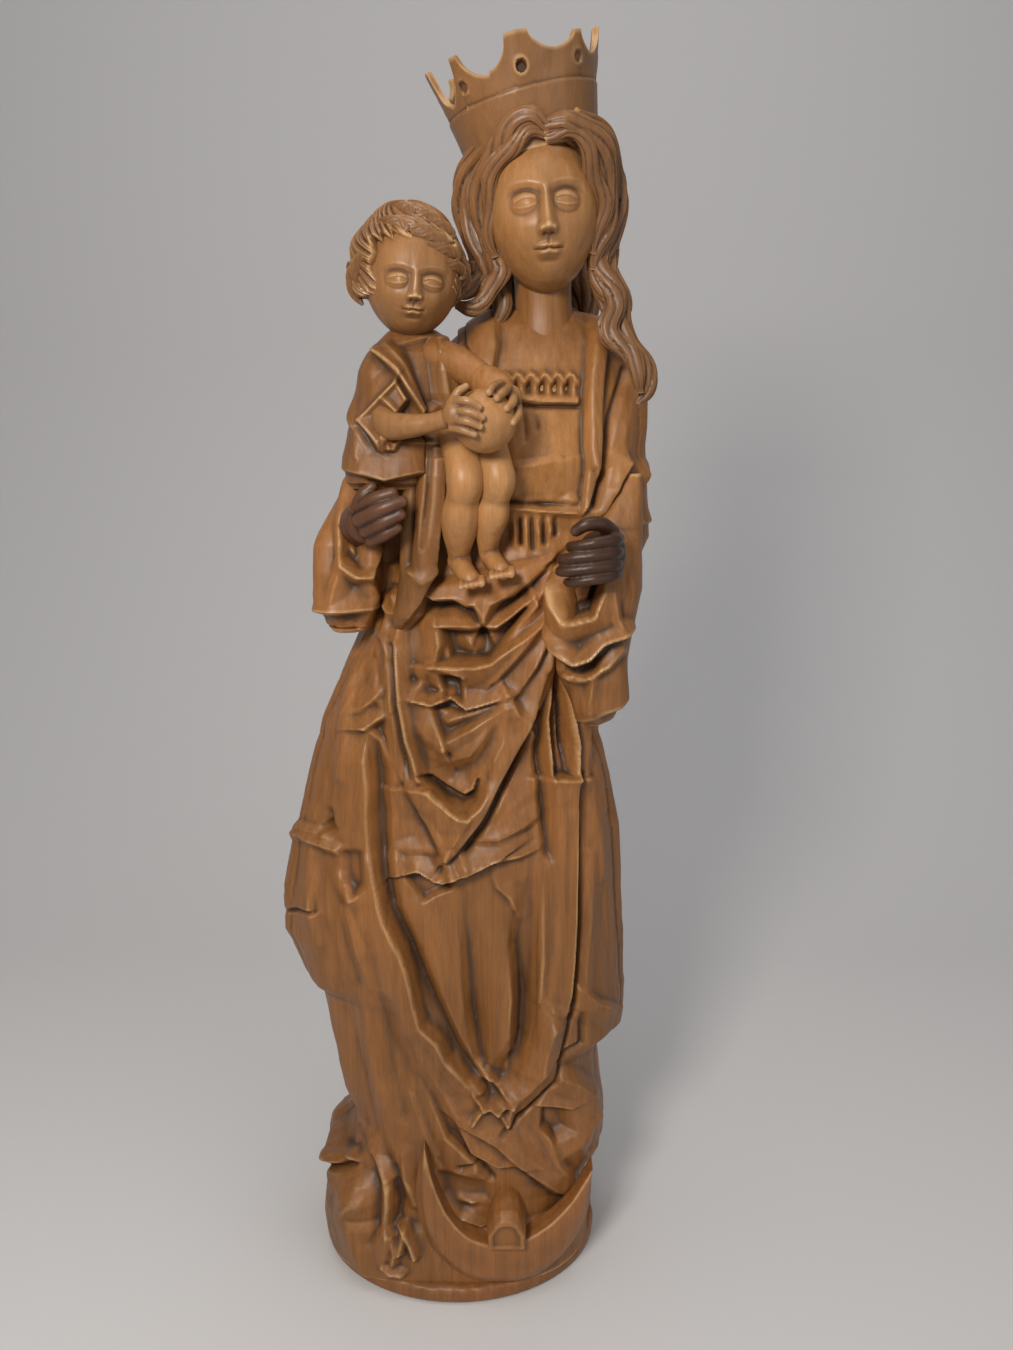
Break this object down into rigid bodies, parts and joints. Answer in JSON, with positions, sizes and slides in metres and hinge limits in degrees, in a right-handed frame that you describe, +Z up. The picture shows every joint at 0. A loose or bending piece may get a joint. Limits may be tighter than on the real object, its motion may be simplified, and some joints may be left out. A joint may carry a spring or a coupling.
{
  "type": "madonna statue",
  "caption": "Carved wooden standing woman with a crown holding a child, on a crescent moon and an oval plinth.",
  "frame": {"origin": "middle of the oval plinth's underside, on the surface it stands on", "axes": "+Z up, the figure faces -Y, +X towards the mother's left hand"},
  "size_m": [0.235, 0.18, 0.7731],
  "materials": {
    "carved_wood": "satin stained limewood",
    "polished_wood": "polished stained limewood",
    "dark_wood": "dark stained wood",
    "crown_wood": "satin stained limewood",
    "base_wood": "satin stained limewood",
    "back_wood": "plain stained spruce board",
    "peg_wood": "raw beech",
    "screw_steel": "zinc-plated steel"
  },
  "bodies": {
    "root": {"plinth": "base_wood", "crescent_moon": "carved_wood", "centre_board": "carved_wood", "right_board": "carved_wood", "left_board": "carved_wood", "back_board": "back_wood", "right_sleeve": "carved_wood", "left_sleeve": "carved_wood", "right_hand": "dark_wood", "left_hand": "dark_wood", "mother_head": "polished_wood", "right_hair_lock": "carved_wood", "left_hair_lock": "carved_wood", "crown": "crown_wood", "child_body": "carved_wood", "child_head": "polished_wood", "child_right_arm": "polished_wood", "child_left_arm": "polished_wood", "child_right_leg": "polished_wood", "child_left_leg": "polished_wood", "ball": "polished_wood", "ball_peg": "peg_wood", "left_hand_peg": "peg_wood", "right_hand_peg": "peg_wood", "child_pegs": "peg_wood", "crown_pegs": "peg_wood", "moon_pegs": "peg_wood", "plinth_screws": "screw_steel", "back_board_screws": "screw_steel"}
  },
  "joints": []
}
